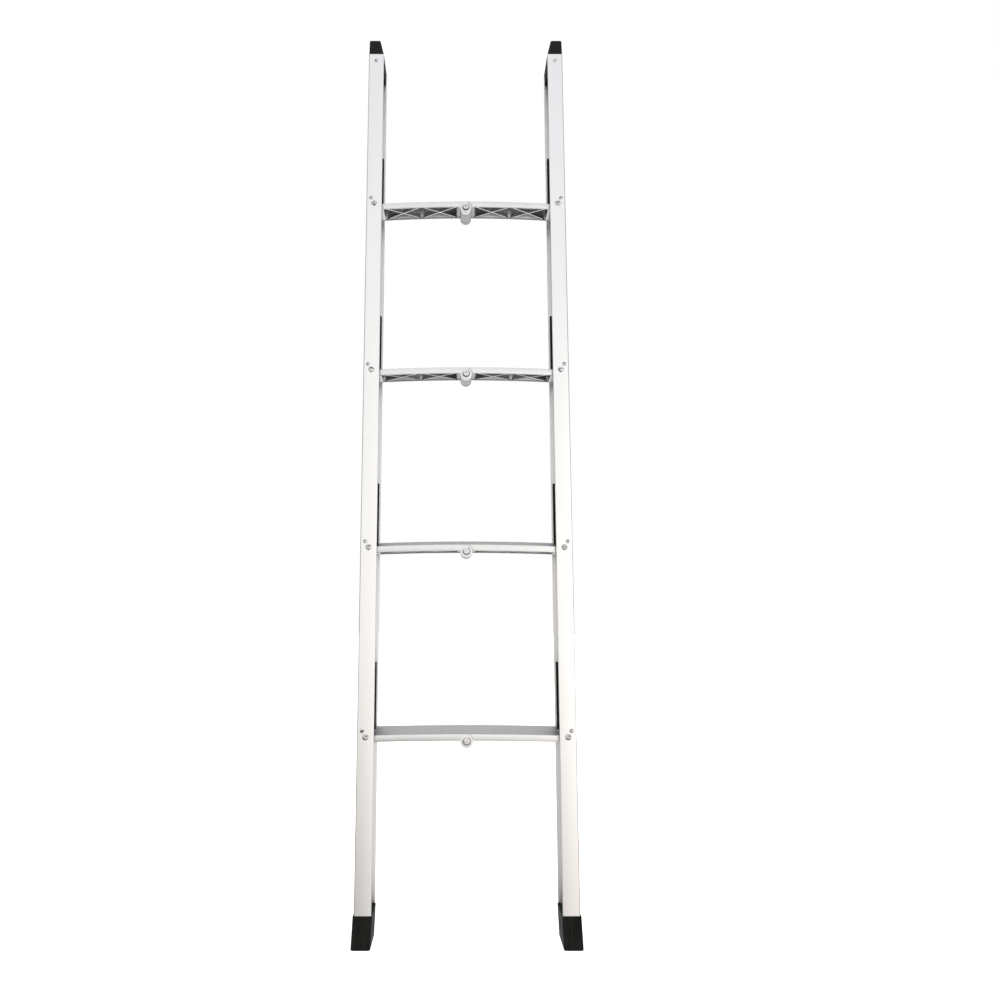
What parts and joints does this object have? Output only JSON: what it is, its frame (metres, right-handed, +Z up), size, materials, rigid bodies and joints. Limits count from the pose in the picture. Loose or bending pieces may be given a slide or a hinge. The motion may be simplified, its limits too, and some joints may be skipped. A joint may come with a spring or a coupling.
{
  "type": "folding boat boarding ladder",
  "caption": "Folding boarding ladder: two channel stiles joined by hinged two-piece cast treads that fold up into the stiles, with black end caps and rubber boots.",
  "frame": {"origin": "on the ground under the middle of the ladder, centre of the bounding box's base", "axes": "+Z up along the stiles, +X across the ladder to its right stile, +Y from the front with the bolt heads to the back"},
  "size_m": [0.355, 0.0686, 1.5263],
  "materials": {
    "anodised_aluminium": "satin silver anodised extrusion",
    "cast_aluminium": "die-cast, bead blasted, bright wiped edges",
    "rivet_steel": "satin stainless rivets and screws",
    "bolt_steel": "machined stainless bolt and nut",
    "black_plastic": "fine textured black moulding",
    "black_rubber": "matt black rubber with light scuffs"
  },
  "bodies": {
    "left_stile": {"left_stile": "anodised_aluminium", "left_pivot_rivets": "rivet_steel", "left_stop_pins": "rivet_steel", "left_pivot_spacers": "black_plastic", "left_top_cap": "black_plastic", "left_cap_screw": "rivet_steel", "left_boot": "black_rubber", "left_liner_1": "black_plastic", "left_liner_2": "black_plastic", "left_liner_3": "black_plastic", "left_liner_4": "black_plastic"},
    "right_stile": {"right_stile": "anodised_aluminium", "right_pivot_rivets": "rivet_steel", "right_stop_pins": "rivet_steel", "right_pivot_spacers": "black_plastic", "right_top_cap": "black_plastic", "right_cap_screw": "rivet_steel", "right_boot": "black_rubber", "right_liner_1": "black_plastic", "right_liner_2": "black_plastic", "right_liner_3": "black_plastic", "right_liner_4": "black_plastic"},
    "left_tread_1": {"left_tread_1": "cast_aluminium", "centre_bolt_1": "bolt_steel", "centre_nut_1": "bolt_steel"},
    "right_tread_1": {"right_tread_1": "cast_aluminium"},
    "left_tread_2": {"left_tread_2": "cast_aluminium", "centre_bolt_2": "bolt_steel", "centre_nut_2": "bolt_steel"},
    "right_tread_2": {"right_tread_2": "cast_aluminium"},
    "left_tread_3": {"left_tread_3": "cast_aluminium", "centre_bolt_3": "bolt_steel", "centre_nut_3": "bolt_steel"},
    "right_tread_3": {"right_tread_3": "cast_aluminium"},
    "left_tread_4": {"left_tread_4": "cast_aluminium", "centre_bolt_4": "bolt_steel", "centre_nut_4": "bolt_steel"},
    "right_tread_4": {"right_tread_4": "cast_aluminium"}
  },
  "joints": [
    {"name": "left_fold_1", "type": "hinge", "parent": "left_stile", "child": "left_tread_1", "pos_m": [-0.16, 0, 0.314], "axis": [0, -1, 0], "range_deg": [0, 85]},
    {"name": "left_fold_2", "type": "hinge", "parent": "left_stile", "child": "left_tread_2", "pos_m": [-0.16, 0, 0.614], "axis": [0, -1, 0], "range_deg": [0, 85]},
    {"name": "left_fold_3", "type": "hinge", "parent": "left_stile", "child": "left_tread_3", "pos_m": [-0.16, 0, 0.914], "axis": [0, -1, 0], "range_deg": [0, 85]},
    {"name": "left_fold_4", "type": "hinge", "parent": "left_stile", "child": "left_tread_4", "pos_m": [-0.16, 0, 1.214], "axis": [0, -1, 0], "range_deg": [0, 85]},
    {"name": "centre_hinge_1", "type": "hinge", "parent": "left_tread_1", "child": "right_tread_1", "pos_m": [0, 0, 0.3076], "axis": [0, -1, 0], "range_deg": [-170, 0]},
    {"name": "right_fold_1", "type": "hinge", "parent": "right_tread_1", "child": "right_stile", "pos_m": [0.16, 0, 0.314], "axis": [0, -1, 0], "range_deg": [0, 85]},
    {"name": "right_fold_2", "type": "hinge", "parent": "right_stile", "child": "right_tread_2", "pos_m": [0.16, 0, 0.614], "axis": [0, -1, 0], "range_deg": [-85, 0]},
    {"name": "right_fold_3", "type": "hinge", "parent": "right_stile", "child": "right_tread_3", "pos_m": [0.16, 0, 0.914], "axis": [0, -1, 0], "range_deg": [-85, 0]},
    {"name": "right_fold_4", "type": "hinge", "parent": "right_stile", "child": "right_tread_4", "pos_m": [0.16, 0, 1.214], "axis": [0, -1, 0], "range_deg": [-85, 0]}
  ],
  "couplings": [
    {"joint": "left_fold_2", "follows": "left_fold_1", "ratio": 1},
    {"joint": "left_fold_3", "follows": "left_fold_1", "ratio": 1},
    {"joint": "left_fold_4", "follows": "left_fold_1", "ratio": 1},
    {"joint": "centre_hinge_1", "follows": "left_fold_1", "ratio": -2},
    {"joint": "right_fold_1", "follows": "left_fold_1", "ratio": 1},
    {"joint": "right_fold_2", "follows": "left_fold_1", "ratio": -1},
    {"joint": "right_fold_3", "follows": "left_fold_1", "ratio": -1},
    {"joint": "right_fold_4", "follows": "left_fold_1", "ratio": -1}
  ]
}
